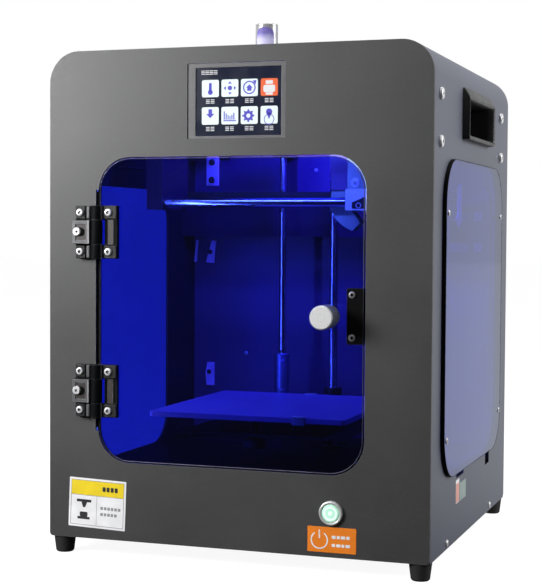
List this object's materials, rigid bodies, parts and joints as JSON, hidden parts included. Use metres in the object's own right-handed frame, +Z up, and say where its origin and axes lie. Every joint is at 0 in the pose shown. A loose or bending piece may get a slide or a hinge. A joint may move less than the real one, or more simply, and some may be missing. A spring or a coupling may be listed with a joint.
{
  "type": "fdm printer",
  "caption": "Small enclosed desktop 3-D printer: metal case with tinted door, side windows and lid, belt-driven head, screw-lifted bed, touch screen.",
  "frame": {"origin": "middle of the bounding box on the surface that the feet stand on", "axes": "+Z up, the door and screen face -Y, +X to the right as seen from the front"},
  "size_m": [0.312, 0.3184, 0.4104],
  "materials": {
    "painted_panel": "brushed dark grey, satin",
    "painted_case": "fine powder coat, dark grey",
    "inner_sheet": "black powder coat",
    "tinted_acrylic": "clear deep blue acrylic sheet, polished",
    "rubber": "matt",
    "black_plastic": "moulded, satin",
    "aluminium": "machined, silver anodised",
    "bright_steel": "ground and polished",
    "black_metal": "black, satin",
    "belt_rubber": "matt, fabric reinforced",
    "screen": "glossy touch screen in a grey frame",
    "circuit_board": "solder-masked board",
    "button_cap": "translucent, lit from behind"
  },
  "bodies": {
    "case": {"outer_shell": "painted_case", "front_panel": "painted_panel", "rear_panel": "painted_panel", "base_plate": "inner_sheet", "chamber_floor": "inner_sheet", "foot_front_left": "rubber", "foot_front_right": "rubber", "foot_rear_left": "rubber", "foot_rear_right": "rubber", "window_left": "tinted_acrylic", "window_right": "tinted_acrylic", "handle_left": "black_plastic", "handle_right": "black_plastic", "door_magnet": "black_plastic", "hinge_upper_frame_leaf": "black_plastic", "hinge_lower_frame_leaf": "black_plastic", "lid_hinge_base": "bright_steel", "display_module": "screen", "power_button_housing": "bright_steel", "power_inlet": "black_plastic", "mainboard": "circuit_board", "y_rod_left": "bright_steel", "y_rod_right": "bright_steel", "y_rail_left": "inner_sheet", "y_rail_right": "inner_sheet", "y_motor": "black_metal", "y_belt": "belt_rubber", "z_rod_left": "bright_steel", "z_rod_right": "bright_steel", "z_crossbeam": "inner_sheet", "z_motor": "black_metal"},
    "door": {"front_door": "tinted_acrylic", "door_knob": "aluminium", "door_strike_plate": "black_metal", "hinge_upper_door_leaf": "black_plastic", "hinge_lower_door_leaf": "black_plastic"},
    "lid": {"top_lid": "tinted_acrylic", "lid_knob": "aluminium", "lid_hinge_leaf": "bright_steel"},
    "power_button": {"power_button_cap": "button_cap"},
    "gantry": {"y_block_left": "black_plastic", "y_block_right": "black_plastic", "x_rod_front": "bright_steel", "x_rod_rear": "bright_steel", "x_motor": "black_metal", "x_belt": "belt_rubber"},
    "print_head": {"x_carriage": "aluminium", "extruder_motor": "black_metal", "hot_end": "aluminium", "part_fan": "black_plastic", "fan_duct": "black_plastic"},
    "fan_wheel": {"part_fan_rotor": "black_plastic"},
    "x_drive": {"x_pulley": "aluminium"},
    "y_drive": {"y_pulley": "aluminium"},
    "bed": {"bed_carrier": "black_metal", "heated_bed": "aluminium"},
    "screw": {"lead_screw": "bright_steel"},
    "knob_front": {"level_knob_front": "black_plastic"},
    "knob_rear_left": {"level_knob_rear_left": "black_plastic"},
    "knob_rear_right": {"level_knob_rear_right": "black_plastic"}
  },
  "joints": [
    {"name": "door_hinge", "type": "hinge", "parent": "case", "child": "door", "pos_m": [-0.108, -0.1422, 0.1875], "axis": [0, 0, -1], "range_deg": [0, 110]},
    {"name": "lid_hinge", "type": "hinge", "parent": "case", "child": "lid", "pos_m": [0, 0.118, 0.3902], "axis": [-1, 0, 0], "range_deg": [0, 95]},
    {"name": "power_button_press", "type": "slide", "parent": "case", "child": "power_button", "axis": [0, 1, 0], "range_m": [0, 0.002], "stiffness_N_per_m": 1000, "springref_m": -0.0005},
    {"name": "y_gantry", "type": "slide", "parent": "case", "child": "gantry", "axis": [0, 1, 0], "range_m": [-0.092, 0.044]},
    {"name": "x_carriage", "type": "slide", "parent": "gantry", "child": "print_head", "axis": [1, 0, 0], "range_m": [-0.138, 0.003]},
    {"name": "part_fan_spin", "type": "hinge", "parent": "print_head", "child": "fan_wheel", "pos_m": [0.0435, 0.013, 0.307], "axis": [1, 0, 0], "continuous": true},
    {"name": "x_pulley_spin", "type": "hinge", "parent": "gantry", "child": "x_drive", "pos_m": [0.125, 0.046, 0.28], "axis": [0, 0, 1], "continuous": true},
    {"name": "y_pulley_spin", "type": "hinge", "parent": "case", "child": "y_drive", "pos_m": [0.103, 0.113, 0.331], "axis": [1, 0, 0], "continuous": true},
    {"name": "bed_lift", "type": "slide", "parent": "case", "child": "bed", "axis": [0, 0, 1], "range_m": [-0.017, 0.135]},
    {"name": "lead_screw_spin", "type": "hinge", "parent": "case", "child": "screw", "pos_m": [0.005, 0.106, 0.183], "axis": [0, 0, 1], "continuous": true},
    {"name": "level_knob_front_turn", "type": "hinge", "parent": "bed", "child": "knob_front", "pos_m": [-0.005, -0.073, 0.085], "axis": [0, 0, 1], "continuous": true},
    {"name": "level_knob_rear_left_turn", "type": "hinge", "parent": "bed", "child": "knob_rear_left", "pos_m": [-0.052, 0.059, 0.085], "axis": [0, 0, 1], "continuous": true},
    {"name": "level_knob_rear_right_turn", "type": "hinge", "parent": "bed", "child": "knob_rear_right", "pos_m": [0.042, 0.059, 0.085], "axis": [0, 0, 1], "continuous": true}
  ],
  "couplings": [
    {"joint": "x_pulley_spin", "follows": "x_carriage", "rad_per_m": 157.48},
    {"joint": "y_pulley_spin", "follows": "y_gantry", "rad_per_m": 157.48},
    {"joint": "lead_screw_spin", "follows": "bed_lift", "rad_per_m": -785.4}
  ]
}
